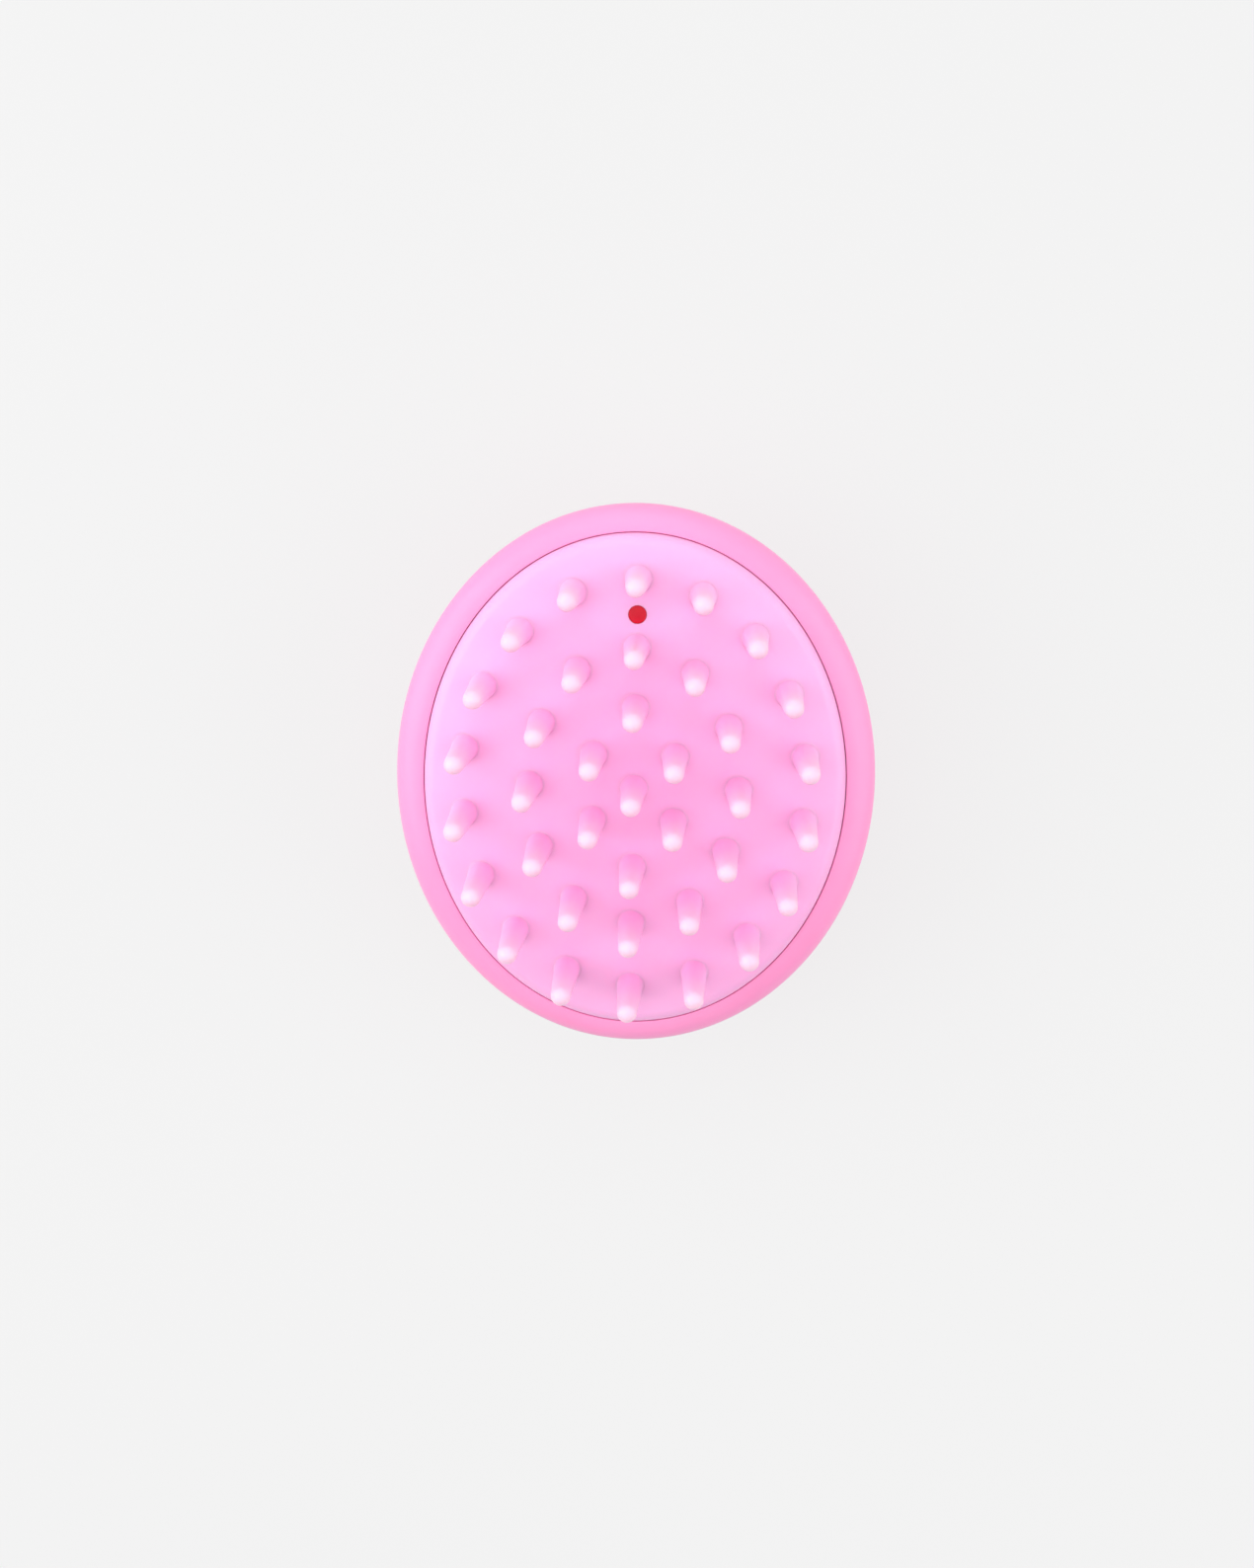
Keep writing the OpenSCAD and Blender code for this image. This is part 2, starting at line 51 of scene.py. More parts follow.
# ---------- sizes, in millimetres, the same as the CAD's ----------
RIM_W, RIM_L, RIM_Z = 80.5, 92.8, 30.2      # the rim's outermost line and its height
LIP_R, LIP_TOP = 2.7, 33.8
GRIP_W, BELLY_Z, WAIST_W, WALL = 65.0, 11, 60.0, 2.4
PARTING_Z, LEDGE_Z, CROWN_R = 22.0, 31.0, 23.0
PAD_W, PAD_L, PAD_Z = 70.6, 84.2, 38.8
DOME_R, SKIN, SKIRT, EDGE_R, HEM_R = 180.0, 2.0, 1.7, 2.2, 0.4
RIM_STRETCH = RIM_L / RIM_W
PAD_STRETCH = PAD_L / PAD_W
BRISTLE_H, BASE_R, TIP_R = 14.4, 2.2, 1.65
FAN = 0.12                                  # degrees of lean for each mm from the middle
RING_HALF_W, RING_EXTRA_L, RING_STEP = (7.4, 17.4, 28.7), 6.2, 6
WINDOW_R, WINDOW_Y = 1.5, 29.0
BUTTON_R, BUTTON_INSET, FLANGE_Z, STEM_R, STEM_TOP = 7.4, 0.6, 2.5, 1.5, 3.88
POCKET_Y, PORT_Z, ANCHOR_Z = -35.5, 11.2, 17
POCKET, ANCHOR_SEAT, SOCKET_SLOT = (16, 10, 3), (7, 4, 1), (9.3, 3.6, 1.7)    # width, height and
FLAP, FLAP_BOSS = (15.2, 9, 2.6), (7.2, 1.7, 0.8)                             # corner radius
SPRING_R, SPRING_WIRE_R, SPRING_LOW, SPRING_HIGH = 6.5, 0.3, 3.3, 6.6

# ---------- sizes of the visual model alone, in millimetres ----------
FILLET = 0.28                               # where a bristle flows out of the dome
SINK = 0.3                                  # how far a bristle's first ring is below the dome
FOLLOW_H = 4.0                              # height over which a bristle's rings turn level
SHOULDER_STEPS, SHOULDER_STEP, SHOULDER_SWEEP = 22, 4.1, 86.1     # steps, and degrees
WELL_GAP = 0.12                             # between the pad's edge and the rim
MOUTH_GAP, MOUTH_R = 0.25, 0.4              # round the power button
OUTSIDE_Y = -45                             # a plane clear of the grip, for the cutters
FLOOR_HALF = 2500
AROUND = 224                                # sides of a turned oval
OVAL_STEPS = 720                            # steps used to measure along an oval


# ---------- curves ----------
def bezier(a, b, c, d, n):
    out = []
    for i in range(n + 1):
        t = i / n
        u = 1 - t
        k = (u * u * u, 3 * u * u * t, 3 * u * t * t, t * t * t)
        out.append(tuple(sum(k[j] * p[axis] for j, p in enumerate((a, b, c, d)))
                         for axis in (0, 1)))
    return out


def arc(cx, cz, r, start, end, n):
    angles = [math.radians(start + (end - start) * i / n) for i in range(n + 1)]
    return [(cx + r * math.cos(q), cz + r * math.sin(q)) for q in angles]


def dome_z(x, y, depth=0.0):
    """Height of the pad's dome, or of the surface that lies depth under it."""
    half = math.hypot(x, y / PAD_STRETCH)
    return PAD_Z - DOME_R + math.sqrt((DOME_R - depth) ** 2 - half * half)


def grip_side(inset, n=22):
    """The grip's side from its crown to the parting line, inset from the outside."""
    low = bezier((CROWN_R - inset / 2, inset), (28.8 - inset, inset),
                 (GRIP_W / 2 - inset, 4.6 + inset / 2), (GRIP_W / 2 - inset, BELLY_Z), n)
    high = bezier((GRIP_W / 2 - inset, BELLY_Z), (GRIP_W / 2 - inset, 16.5),
                  (WAIST_W / 2 - inset, 17), (WAIST_W / 2 - inset, PARTING_Z), n)
    return low + high[1:]


def oval_points(a, b, n):
    """n places spaced evenly along an oval, the first one on the +Y side."""
    at = [(a * math.sin(math.tau * i / OVAL_STEPS), b * math.cos(math.tau * i / OVAL_STEPS))
          for i in range(OVAL_STEPS + 1)]
    run = [0.0]
    for p, q in zip(at, at[1:]):
        run.append(run[-1] + math.dist(p, q))
    out, i = [], 0
    for k in range(n):
        goal = run[-1] * k / n
        while run[i + 1] < goal:
            i += 1
        f = (goal - run[i]) / (run[i + 1] - run[i])
        out.append(tuple(at[i][j] + f * (at[i + 1][j] - at[i][j]) for j in (0, 1)))
    return out


# ---------- meshes ----------
def shade_smooth(mesh, sharp_angle=None):
    """Smooth shading, with edges sharper than the angle (degrees) left crisp."""
    mesh.polygons.foreach_set("use_smooth", [True] * len(mesh.polygons))
    if sharp_angle:
        mesh.set_sharp_from_angle(angle=math.radians(sharp_angle))


def make_object(name, verts, faces, sharp_angle=None):
    """Mesh object from points in millimetres."""
    mesh = bpy.data.meshes.new(name)
    mesh.from_pydata([(x * MM, y * MM, z * MM) for x, y, z in verts], [], faces)
    mesh.validate()
    shade_smooth(mesh, sharp_angle)
    ob = bpy.data.objects.new(name, mesh)
    bpy.context.scene.collection.objects.link(ob)
    return ob


def loft(rings, closed=False):
    """Quads between rings of equal length. A ring of one point is a pole."""
    verts, faces, starts = [], [], []
    for ring in rings:
        starts.append(len(verts))
        verts.extend(ring)
    pairs = list(zip(range(len(rings)), range(1, len(rings))))
    if closed:
        pairs.append((len(rings) - 1, 0))
    for i, j in pairs:
        a, b, na, nb = starts[i], starts[j], len(rings[i]), len(rings[j])
        n = max(na, nb)
        for s in range(n):
            t = (s + 1) % n
            if na == 1:
                faces.append((a, b + s, b + t))
            elif nb == 1:
                faces.append((a + s, b, a + t))
            else:
                faces.append((a + s, b + s, b + t, a + t))
    return verts, faces


def oval_ring(rx, ry, z, n=AROUND):
    if rx < 1e-6:
        return [(0.0, 0.0, z)]
    return [(rx * math.cos(math.tau * i / n), ry * math.sin(math.tau * i / n), z)
            for i in range(n)]


def lathe(name, profile, stretch=1.0, closed=False, n=AROUND, centre=(0, 0), sharp_angle=None):
    """profile holds (r, z) or (rx, ry, z), listed from the inside out or round the section."""
    rings = []
    for p in profile:
        rx, ry, z = p if len(p) == 3 else (p[0], p[0] * stretch, p[1])
        rings.append([(x + centre[0], y + centre[1], h) for x, y, h in oval_ring(rx, ry, z, n)])
    ob = make_object(name, *loft(rings, closed), sharp_angle=sharp_angle)
    fix_normals(ob)
    return ob


def fix_normals(ob):
    bm = bmesh.new()
    bm.from_mesh(ob.data)
    bmesh.ops.recalc_face_normals(bm, faces=bm.faces)
    bm.to_mesh(ob.data)
    bm.free()


def rounded_outline(w, h, corner):
    out = []
    for sx, sz, start in ((1, 1, 0), (-1, 1, 90), (-1, -1, 180), (1, -1, 270)):
        out += arc(sx * (w / 2 - corner), sz * (h / 2 - corner), corner, start, start + 90, 8)
    return out


def upright_plate(name, w, h, corner, y0, y1, z):
    """Round-cornered plate across Y, from y0 to y1."""
    outline = rounded_outline(w, h, corner)
    verts, faces = loft([[(x, y, z + dz) for x, dz in outline] for y in (y1, y0)])
    n = len(outline)
    faces.append(tuple(range(n)))
    faces.append(tuple(reversed(range(len(verts) - n, len(verts)))))
    ob = make_object(name, verts, faces, sharp_angle=40)
    fix_normals(ob)
    return ob


def apply_boolean(ob, cutter, operation="DIFFERENCE"):
    """Cuts, joins or intersects ob with the cutter, and removes the cutter."""
    mod = ob.modifiers.new("cut", "BOOLEAN")
    mod.operation, mod.object, mod.solver = operation, cutter, "EXACT"
    bpy.context.view_layer.update()
    evaluated = ob.evaluated_get(bpy.context.evaluated_depsgraph_get())
    done = bpy.data.meshes.new_from_object(evaluated)
    ob.modifiers.clear()
    old = ob.data
    ob.data = done
    done.name = old.name
    bpy.data.meshes.remove(old)
    bpy.data.objects.remove(cutter, do_unlink=True)


def bevel(ob, width):
    mod = ob.modifiers.new("edges", "BEVEL")
    mod.width, mod.segments, mod.limit_method = width * MM, 3, "ANGLE"
    mod.angle_limit = math.radians(35)


def tube(name, line, r, sides=12):
    """Round bar along a line that never runs straight up."""
    across = Vector((0, 0, 1))
    rings = []
    for i, p in enumerate(line):
        before, after = Vector(line[max(i - 1, 0)]), Vector(line[min(i + 1, len(line) - 1)])
        along = (after - before).normalized()
        u = across.cross(along).normalized()
        v = along.cross(u)
        turns_round = [math.tau * s / sides for s in range(sides)]
        rings.append([tuple(Vector(p) + r * (math.cos(q) * u + math.sin(q) * v))
                      for q in turns_round])
    rings = [[tuple(line[0])]] + rings + [[tuple(line[-1])]]
    ob = make_object(name, *loft(rings))
    fix_normals(ob)
    return ob


# ---------- materials ----------
PAD_PINK, PAD_DEEP = (0.985, 0.465, 0.77), (0.985, 0.44, 0.75)
RIM_PINK, RIM_DEEP = (0.98, 0.33, 0.61), (0.98, 0.31, 0.59)
FINE_GRAIN, GRAIN_DEPTH = 2600.0, 0.00002   # noise scale, and height in metres
HEIGHT_LAYER = "height"                     # each point's share of its bristle's height
SILICONE_SOFT = dict(Subsurface_Weight=0.35, Subsurface_Radius=(1.0, 0.45, 0.6),
                     Subsurface_Scale=0.0022, IOR=1.48, Sheen_Weight=0.08, Sheen_Roughness=0.5)


class Nodes:
    """A material's node tree with short calls."""

    def __init__(self, name):
        self.mat = bpy.data.materials.new(name)
        self.mat.use_nodes = True
        self.tree = self.mat.node_tree
        self.shader = self.tree.nodes["Principled BSDF"]
        self.coords = self.tree.nodes.new("ShaderNodeTexCoord")

    def add(self, kind, **inputs):
        node = self.tree.nodes.new("ShaderNode" + kind)
        for key, value in inputs.items():
            self.put(node.inputs[key.replace("_", " ")], value)
        return node

    def put(self, socket, value):
        if isinstance(value, bpy.types.NodeSocket):
            self.tree.links.new(value, socket)
        else:
            socket.default_value = value

    def noise(self, scale, detail=3.0, stretch=(1, 1, 1)):
        mapping = self.add("Mapping", Vector=self.coords.outputs["Object"], Scale=stretch)
        texture = self.add("TexNoise", Vector=mapping.outputs[0], Scale=scale, Detail=detail)
        return texture.outputs[0]

    def ramp(self, value, stops):
        node = self.add("ValToRGB", Fac=value)
        elements = node.color_ramp.elements
        while len(elements) < len(stops):
            elements.new(0.5)
        for element, (position, colour) in zip(elements, stops):
            element.position, element.color = position, (*colour, 1)
        return node.outputs[0]

    def spread(self, value, low, high):
        return self.add("MapRange", Value=value, To_Min=low, To_Max=high).outputs[0]

    def bump(self, height, strength, distance):
        node = self.add("Bump", Height=height, Strength=strength, Distance=distance)
        self.put(self.shader.inputs["Normal"], node.outputs[0])

    def set(self, **inputs):
        for key, value in inputs.items():
            self.put(self.shader.inputs[key.replace("_", " ")], value)


def moulded(name, light, deep, rough=0.5, patch=45.0, grain=FINE_GRAIN, grain_depth=GRAIN_DEPTH,
            metal=0.0, stretch=(1, 1, 1), **extra):
    """Moulded or finished surface: soft colour drift, fine grain, uneven roughness."""
    m = Nodes(name)
    m.set(Base_Color=m.ramp(m.noise(patch), [(0.3, deep), (0.7, light)]),
          Roughness=m.spread(m.noise(patch * 4, 4.0), rough - 0.05, rough + 0.05),
          Metallic=metal, **extra)
    m.bump(m.noise(grain, 2.0, stretch), 0.35, grain_depth)
    return m.mat


def bristle_material():
    """Pad pink at the root, painted paler towards the tip: painted glow, standing in for light
    shining through the thin silicone.
    """
    m = Nodes("bristle_silicone")
    height = m.add("Attribute")
    height.attribute_name = HEIGHT_LAYER
    drift = m.spread(m.noise(300.0), -0.05, 0.05)
    level = m.add("Math")
    m.put(level.inputs[0], height.outputs["Fac"])
    m.put(level.inputs[1], drift)
    # painted glow: the paler stops up the bristle stand in for light shining through the thin
    # silicone tips
    colour = m.ramp(level.outputs[0],
                    [(0.0, PAD_PINK), (0.18, (0.98, 0.49, 0.80)), (0.45, (0.975, 0.50, 0.78)),
                     (0.75, (0.97, 0.545, 0.76)), (1.0, (0.96, 0.60, 0.76))])
    m.set(Base_Color=colour, Roughness=m.spread(m.noise(900.0), 0.3, 0.38), **SILICONE_SOFT)
    m.bump(m.noise(FINE_GRAIN), 0.3, GRAIN_DEPTH)
    return m.mat


pad_mat = moulded("pad_silicone", PAD_PINK, PAD_DEEP, 0.34, **SILICONE_SOFT)
bristle_mat = bristle_material()
shell_mat = moulded("shell_plastic", RIM_PINK, RIM_DEEP, 0.36, grain=1800.0,
                    Coat_Weight=0.06, Coat_Roughness=0.4, Subsurface_Weight=0.15,
                    Subsurface_Radius=(1.0, 0.4, 0.5), Subsurface_Scale=0.0015)
trim_mat = moulded("trim_silicone", (0.86, 0.30, 0.56), (0.82, 0.26, 0.52), 0.5, **SILICONE_SOFT)
button_mat = moulded("button_plastic", (0.86, 0.28, 0.54), (0.82, 0.24, 0.5), 0.35,
                     Coat_Weight=0.15, Coat_Roughness=0.3)
window_mat = moulded("red_window", (0.60, 0.008, 0.026), (0.50, 0.005, 0.02), 0.35, patch=500.0,
                     Specular_IOR_Level=0.2, Coat_Weight=0.08, Coat_Roughness=0.15)

SLOT_LOOKS = {
    "seal": dict(light=(0.035, 0.035, 0.04), deep=(0.02, 0.02, 0.022), rough=0.6),
    "carrier": dict(light=(0.86, 0.5, 0.66), deep=(0.82, 0.45, 0.62), rough=0.45),
    "led_lens": dict(light=(0.75, 0.03, 0.02), deep=(0.6, 0.02, 0.015), rough=0.15, patch=400.0,
                     Coat_Weight=0.5),
    "board": dict(light=(0.02, 0.16, 0.05), deep=(0.012, 0.11, 0.035), rough=0.35, patch=260.0,
                  Coat_Weight=0.3),
    "screw": dict(light=(0.62, 0.62, 0.64), deep=(0.48, 0.48, 0.5), rough=0.3, patch=700.0,
                  metal=1.0),
    "chip": dict(light=(0.03, 0.03, 0.033), deep=(0.018, 0.018, 0.02), rough=0.45, patch=600.0),
    "socket_steel": dict(light=(0.68, 0.68, 0.7), deep=(0.55, 0.55, 0.57), rough=0.28,
                         metal=1.0, patch=500.0, stretch=(1, 12, 1)),
    "white_plastic": dict(light=(0.82, 0.81, 0.76), deep=(0.76, 0.74, 0.68), rough=0.5,
                          patch=200.0),
    "black_plastic": dict(light=(0.04, 0.04, 0.042), deep=(0.022, 0.022, 0.024), rough=0.5,
                          patch=400.0),
    "spring_steel": dict(light=(0.6, 0.6, 0.62), deep=(0.42, 0.42, 0.44), rough=0.25,
                         metal=1.0, patch=900.0),
    "cell_foil": dict(light=(0.7, 0.72, 0.75), deep=(0.58, 0.6, 0.63), rough=0.35, metal=1.0,
                      patch=120.0, grain=700.0, grain_depth=0.00006),
    "foam": dict(light=(0.06, 0.06, 0.065), deep=(0.03, 0.03, 0.033), rough=0.9, grain=1400.0,
                 grain_depth=0.0002),
    "motor_steel": dict(light=(0.66, 0.66, 0.66), deep=(0.52, 0.52, 0.53), rough=0.3, metal=1.0,
                        patch=260.0, stretch=(1, 20, 1)),
    "magnet": dict(light=(0.1, 0.1, 0.105), deep=(0.06, 0.06, 0.065), rough=0.55, patch=400.0),
    "bush": dict(light=(0.7, 0.5, 0.22), deep=(0.55, 0.38, 0.16), rough=0.4, metal=1.0,
                 patch=900.0),
    "shaft_steel": dict(light=(0.75, 0.75, 0.77), deep=(0.64, 0.64, 0.66), rough=0.18,
                        metal=1.0, patch=700.0, stretch=(1, 20, 1)),
    "armature": dict(light=(0.7, 0.3, 0.12), deep=(0.5, 0.2, 0.08), rough=0.35, metal=1.0,
                     patch=300.0, grain=900.0, grain_depth=0.0001, stretch=(6, 1, 6)),
    "weight": dict(light=(0.3, 0.3, 0.31), deep=(0.2, 0.2, 0.21), rough=0.4, metal=1.0,
                   patch=500.0),
    "red_lead": dict(light=(0.6, 0.02, 0.02), deep=(0.48, 0.015, 0.015), rough=0.4,
                     patch=300.0),
    "blue_lead": dict(light=(0.03, 0.09, 0.5), deep=(0.02, 0.06, 0.38), rough=0.4, patch=300.0),
    "yellow_lead": dict(light=(0.75, 0.55, 0.04), deep=(0.62, 0.44, 0.03), rough=0.4,
                        patch=300.0),
}
slot_mats = {slot: moulded(slot, **look) for slot, look in SLOT_LOOKS.items()}
slot_mats.update(shell=shell_mat, silicone=pad_mat, bristle=bristle_mat,
                 silicone_trim=trim_mat, button=button_mat, window=window_mat)
node_slot = {part["node"]: part["material_slot"] for part in frame["record"]["subparts"]}
for node, ob in frame["nodes"].items():
    for slot in ob.material_slots:
        slot.material = slot_mats[node_slot[node]]


def piece(ob, body, slot, *nodes):
    """Finishes a new piece: material, the body it rides on and the CAD nodes it stands for."""
    ob.data.materials.clear()
    ob.data.materials.append(slot_mats[slot])
    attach(ob, body)
    if nodes:
        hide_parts(*nodes)


# ---------- silicone face ----------
def pad_profile():
    """Section of the skin: over the dome, down its round edge and hem, and back under the dome."""
    half = PAD_W / 2
    edge_x = half - EDGE_R
    edge_z = PAD_Z - DOME_R + math.sqrt((DOME_R - EDGE_R) ** 2 - edge_x ** 2)
    lean = math.degrees(math.asin(edge_x / (DOME_R - EDGE_R)))
    reach = DOME_R * math.sin(math.radians(lean))
    dome = [(reach * i / 48, dome_z(reach * i / 48, 0)) for i in range(48)]
    inside_half = half - SKIRT
    inside = [(inside_half * i / 24, dome_z(inside_half * i / 24, 0, SKIN)) for i in range(25)]
    hem = arc(half - HEM_R, LEDGE_Z + 0.5, HEM_R, 0, -90, 4) + [(inside_half, LEDGE_Z + 0.1)]
    return dome + arc(edge_x, edge_z, EDGE_R, 90 - lean, 0, 12) + hem + inside[::-1]


pad = lathe("pad_skin", pad_profile(), PAD_STRETCH)
hole_r = WINDOW_R + 0.04
apply_boolean(pad, lathe("window_hole", [(0, 30), (hole_r, 30), (hole_r, 45), (0, 45)], n=64,
                         centre=(0, WINDOW_Y)))
shade_smooth(pad.data, 50)
piece(pad, "brush", "silicone", "bristle_pad")


def bristle_section():
    """(radius, height) up a bristle: sunk ring, fillet, taper and round tip."""
    tip_z = BRISTLE_H - TIP_R
    slope = (BASE_R - TIP_R) / tip_z
    section = [(BASE_R + FILLET, -SINK)]
    for q in (math.pi / 2 * i / 6 for i in range(7)):
        h = FILLET * (1 - math.cos(q))
        section.append((BASE_R + FILLET * (1 - math.sin(q)) - slope * h, h))
    section += [(BASE_R - slope * h, h)
                for h in (FILLET + (tip_z - FILLET) * i / 14 for i in range(1, 15))]
    section += [(TIP_R * math.cos(q), tip_z + TIP_R * math.sin(q))
                for q in (math.pi / 2 * i / 9 for i in range(1, 9))]
    return section


def bristle_rings(x, y, n=40):
    """One bristle that flows out of the dome; also gives each ring's share of the height."""
    root = Vector((x, y, dome_z(x, y)))
    lean = math.radians(math.hypot(x, y) * FAN)
    out = Vector((x, y, 0)).normalized() if math.hypot(x, y) > 0 else Vector((1, 0, 0))
    up = (Vector((0, 0, 1)) * math.cos(lean) + out * math.sin(lean)).normalized()
    e1 = (out - up * out.dot(up)).normalized()
    e2 = up.cross(e1)
    rings = []
    for r, h in bristle_section():
        follow = max(0.0, 1 - h / FOLLOW_H)
        follow = follow * follow * (3 - 2 * follow)
        ring = []
        for s in range(n):
            q = math.tau * s / n
            flat = root + r * (math.cos(q) * e1 + math.sin(q) * e2)
            p = flat + up * h
            p.z += (dome_z(flat.x, flat.y) - flat.z) * follow
            ring.append(tuple(p))
        rings.append((ring, h / BRISTLE_H))
    rings.append(([tuple(root + up * BRISTLE_H)], 1.0))
    return rings


def bristle_group(name, places, node):
    verts, faces, heights = [], [], []
    for x, y in places:
        rings = bristle_rings(x, y)
        v, f = loft([r for r, _ in rings])
        f.append(tuple(range(len(rings[0][0]))))
        faces += [tuple(i + len(verts) for i in face) for face in f]
        verts += v
        for ring, height in rings:
            heights += [height] * len(ring)
    ob = make_object(name, verts, faces, sharp_angle=60)
    fix_normals(ob)
    ob.data.attributes.new(HEIGHT_LAYER, "FLOAT", "POINT").data.foreach_set("value", heights)
    piece(ob, "brush", "bristle", node)


ring_places = [oval_points(a, a + RING_EXTRA_L, RING_STEP * (i + 1))
               for i, a in enumerate(RING_HALF_W)]
bristle_group("bristle_middle_one", [(0.0, 0.0)], "bristle_center")
bristle_group("bristle_ring_inner", ring_places[0], "bristles_inner")
bristle_group("bristle_ring_middle", ring_places[1], "bristles_middle")
bristle_group("bristle_ring_outer", ring_places[2], "bristles_outer")

# ---------- indicator window ----------
window_top = dome_z(0, WINDOW_Y) + 0.05
window = lathe("indicator_window",
               [(0, LEDGE_Z + 0.3), (2.3, LEDGE_Z + 0.3), (2.5, LEDGE_Z + 0.5),
                (2.5, LEDGE_Z + 1.4), (2.3, LEDGE_Z + 1.6), (WINDOW_R, LEDGE_Z + 1.6),
                (WINDOW_R, window_top - 0.1)]
               + arc(WINDOW_R - 0.22, window_top - 0.1, 0.22, 20, 80, 4)
               + [(WINDOW_R * 0.6, window_top + 0.18), (WINDOW_R * 0.3, window_top + 0.23),
                  (0, window_top + 0.25)],
               n=72, centre=(0, WINDOW_Y), sharp_angle=40)
piece(window, "brush", "window", "led_window")


# ---------- rim ----------
def on_rim_oval(points):
    return [(r, r * RIM_STRETCH, z) for r, z in points]


def rim_profile():
    """Section of the rim: up the flare, round the lip, in along the shoulder, down the well."""
    flare = bezier((WAIST_W / 2, PARTING_Z + 0.1), (WAIST_W / 2, 25.6),
                   (RIM_W / 2 - LIP_R - 3, 26.6), (RIM_W / 2 - LIP_R, RIM_Z - LIP_R), 26)
    out = [(29.7, PARTING_Z + 0.1), (29.9, PARTING_Z + 0.16), (30.0, PARTING_Z + 0.34)]
    out += [p for p in flare if p[1] > PARTING_Z + 0.5]
    section = on_rim_oval(out + arc(RIM_W / 2 - LIP_R, RIM_Z, LIP_R, -84, 0, 12))
    # the shoulder runs from the rim's oval in to the pad's
    well_x, well_y = PAD_W / 2 + WELL_GAP, (PAD_W / 2 + WELL_GAP) * PAD_STRETCH
    whole = 1 - math.cos(math.radians(SHOULDER_SWEEP))
    for i in range(1, SHOULDER_STEPS):
        q = math.radians(i * SHOULDER_STEP)
        across = (1 - math.cos(q)) / whole
        section.append((RIM_W / 2 + (well_x + WELL_GAP - RIM_W / 2) * across,
                        RIM_L / 2 + (well_y + WELL_GAP - RIM_L / 2) * across,
                        RIM_Z + (LIP_TOP - RIM_Z) * math.sin(q)))
    section += [(well_x + 0.03, well_y + 0.03, LIP_TOP - 0.04), (well_x, well_y, LIP_TOP - 0.14),
                (well_x, well_y, LEDGE_Z + 0.2), (well_x - 0.2, well_y - 0.2, LEDGE_Z)]
    inner = bezier((WAIST_W / 2 - WALL, PARTING_Z + 0.1), (WAIST_W / 2 - WALL, 26.8),
                   (RIM_W / 2 - LIP_R - 3 - WALL, 28.5), (RIM_W / 2 - LIP_R - 1.2, 29.66), 24)
    section += on_rim_oval([(29.0, LEDGE_Z), (29.0, LEDGE_Z - 2)])
    section += on_rim_oval([p for p in inner[::-1] if p[1] < LEDGE_Z - 2.8])
    return section


rim = lathe("rim", rim_profile(), closed=True, sharp_angle=50)
piece(rim, "brush", "shell", "rim_shell")


# ---------- palm grip ----------
def grip_profile():
    """Section of the grip: the button's mouth, the crown, the side, and back up the inside."""
    hole = BUTTON_R + MOUTH_GAP
    mouth = [(hole + MOUTH_R - x, MOUTH_R - z) for x, z in arc(0, 0, MOUTH_R, 0, 90, 5)]
    out = [(hole, hole, WALL)] + [(r, r, z) for r, z in mouth]
    out += [(r, r * (1 + (RIM_STRETCH - 1) * min(1, (r - hole) / (CROWN_R - hole - 1))), 0.0)
            for r in (9.5, 12.0, 15.0, 18.0, 21.0)]
    side = [p for p in grip_side(0) if p[1] < PARTING_Z - 0.45]
    side += [(30.0, PARTING_Z - 0.24), (29.9, PARTING_Z - 0.06), (29.7, PARTING_Z)]
    side += [(WAIST_W / 2 - WALL, PARTING_Z)] + grip_side(WALL, 12)[-2::-1]
    return out + on_rim_oval(side) + [(15.0, 16.0, WALL)]


def grip_solid(name, inset):
    """Solid that fills the grip up to the parting line, inset from the outside."""
    outline = [(0, inset), (CROWN_R, inset)] + grip_side(inset)[1:] + [(0, PARTING_Z)]
    return lathe(name, outline, RIM_STRETCH)


def cut_pocket():
    apply_boolean(grip, upright_plate("pocket", *POCKET, OUTSIDE_Y, POCKET_Y, PORT_Z))
    apply_boolean(grip, upright_plate("anchor_seat", *ANCHOR_SEAT, OUTSIDE_Y, POCKET_Y, ANCHOR_Z))


grip = lathe("palm_grip", grip_profile(), closed=True)
cut_pocket()
pocket_floor = upright_plate("pocket_floor", 20, 15, 2, POCKET_Y - 0.4, POCKET_Y + 2.7, 12.1)
apply_boolean(pocket_floor, grip_solid("inside_the_skin", 0.9), "INTERSECT")
apply_boolean(grip, pocket_floor, "UNION")
cut_pocket()  # the floor's plate closed a part of it
apply_boolean(grip, upright_plate("socket_slot", *SOCKET_SLOT, OUTSIDE_Y, -30, PORT_Z))
shade_smooth(grip.data, 38)
piece(grip, "brush", "shell", "back_shell")

# ---------- charging port's flap ----------
flap = upright_plate("port_flap", *FLAP, OUTSIDE_Y, POCKET_Y - 0.1, PORT_Z)
apply_boolean(flap, grip_solid("skin_for_flap", 0), "INTERSECT")
shade_smooth(flap.data, 35)
bevel(flap, 0.22)
piece(flap, "flap", "silicone_trim", "port_plug")
boss = upright_plate("port_flap_boss", *FLAP_BOSS, POCKET_Y - 0.4, POCKET_Y + 1.2, PORT_Z)
piece(boss, "flap", "silicone_trim")

